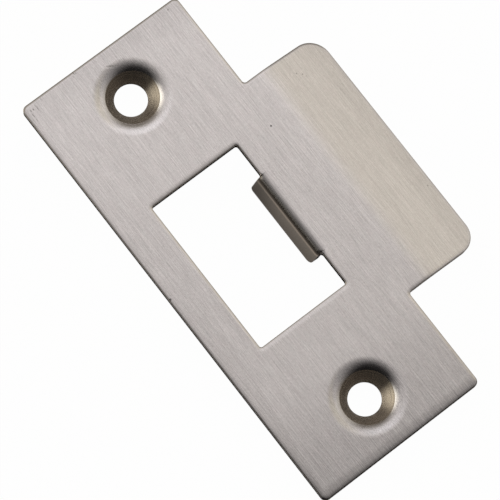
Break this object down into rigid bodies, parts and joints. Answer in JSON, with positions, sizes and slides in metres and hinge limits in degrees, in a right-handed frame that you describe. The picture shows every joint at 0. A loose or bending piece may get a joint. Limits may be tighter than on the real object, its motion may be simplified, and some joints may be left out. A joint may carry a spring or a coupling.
{
  "type": "door strike plate",
  "caption": "Door strike plate: flat sheet plate with a rectangular latch opening, a lip bent down at one side, a folded tang in the opening and dimpled screw holes.",
  "frame": {"origin": "midway between the two screw holes, at the middle of the latch opening, on the back face that seats in the door frame", "axes": "+X towards the lip, +Y along the plate's length, +Z out of the front face"},
  "size_m": [0.0368, 0.0636, 0.0041],
  "materials": {
    "brushed_nickel": "satin brushed nickel on steel, grain along the plate's length"
  },
  "bodies": {
    "root": {"strike_plate": "brushed_nickel"}
  },
  "joints": []
}
